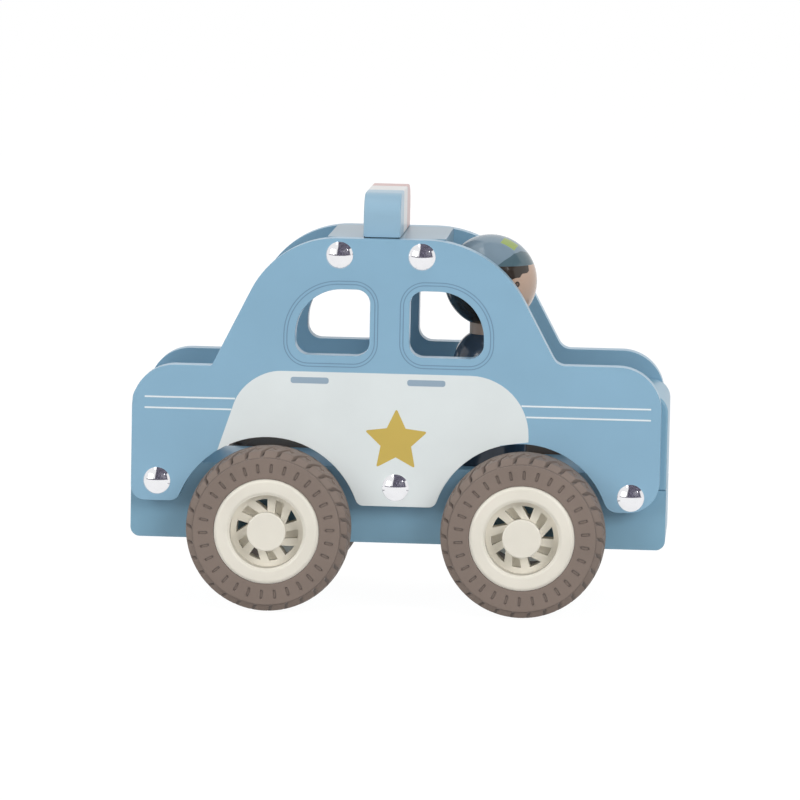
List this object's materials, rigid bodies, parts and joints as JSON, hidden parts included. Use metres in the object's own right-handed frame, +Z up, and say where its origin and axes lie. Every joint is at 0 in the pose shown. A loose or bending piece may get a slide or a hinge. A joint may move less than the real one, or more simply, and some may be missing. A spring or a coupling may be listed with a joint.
{
  "type": "toy police car",
  "caption": "Open-topped wooden toy police car with cut side panels, a block light bar, rubber-tyred wheels that roll, and a lift-out turned driver.",
  "frame": {"origin": "middle of the box round the car, on the surface that the wheels stand on", "axes": "+X towards the front of the car, +Y towards its left side, +Z up"},
  "size_m": [0.1904, 0.0976, 0.1477],
  "materials": {
    "panel_paint": "satin blue lacquer on plywood",
    "chassis_paint": "satin blue lacquer on solid wood",
    "light_bar_paint": "satin lacquer in blue, white and coral",
    "bare_beech": "bare turned beech",
    "steel_rod": "drawn steel",
    "dome_chrome": "polished plating",
    "tyre_rubber": "matte brown rubber",
    "hub_plastic": "satin cream moulding",
    "driver_uniform": "gloss navy lacquer on turned wood",
    "driver_face": "gloss painted turned wood"
  },
  "bodies": {
    "car": {"chassis_block": "chassis_paint", "right_side_panel": "panel_paint", "left_side_panel": "panel_paint", "front_end_block": "chassis_paint", "rear_end_block": "chassis_paint", "roof_block": "chassis_paint", "light_bar": "light_bar_paint", "light_bar_dowels": "bare_beech", "chassis_tie_rods": "steel_rod", "roof_tie_rods": "steel_rod", "right_dome_caps": "dome_chrome", "left_dome_caps": "dome_chrome"},
    "front_wheelset": {"front_axle": "steel_rod", "front_axle_washers": "steel_rod", "front_right_tyre": "tyre_rubber", "front_left_tyre": "tyre_rubber", "front_right_hub": "hub_plastic", "front_left_hub": "hub_plastic", "front_right_hub_cap": "hub_plastic", "front_left_hub_cap": "hub_plastic"},
    "rear_wheelset": {"rear_axle": "steel_rod", "rear_axle_washers": "steel_rod", "rear_right_tyre": "tyre_rubber", "rear_left_tyre": "tyre_rubber", "rear_right_hub": "hub_plastic", "rear_left_hub": "hub_plastic", "rear_right_hub_cap": "hub_plastic", "rear_left_hub_cap": "hub_plastic"},
    "driver": {"driver_body": "driver_uniform", "driver_head": "driver_face", "driver_neck_dowel": "bare_beech"}
  },
  "joints": [
    {"name": "front_wheels_roll", "type": "hinge", "parent": "car", "child": "front_wheelset", "pos_m": [0.0453, 0, 0.0292], "axis": [0, 1, 0], "continuous": true},
    {"name": "rear_wheels_roll", "type": "hinge", "parent": "car", "child": "rear_wheelset", "pos_m": [-0.0447, 0, 0.0292], "axis": [0, 1, 0], "continuous": true},
    {"name": "driver_lifts_out", "type": "slide", "parent": "car", "child": "driver", "axis": [0.2588, 0, 0.9659], "range_m": [0, 0.09]}
  ]
}
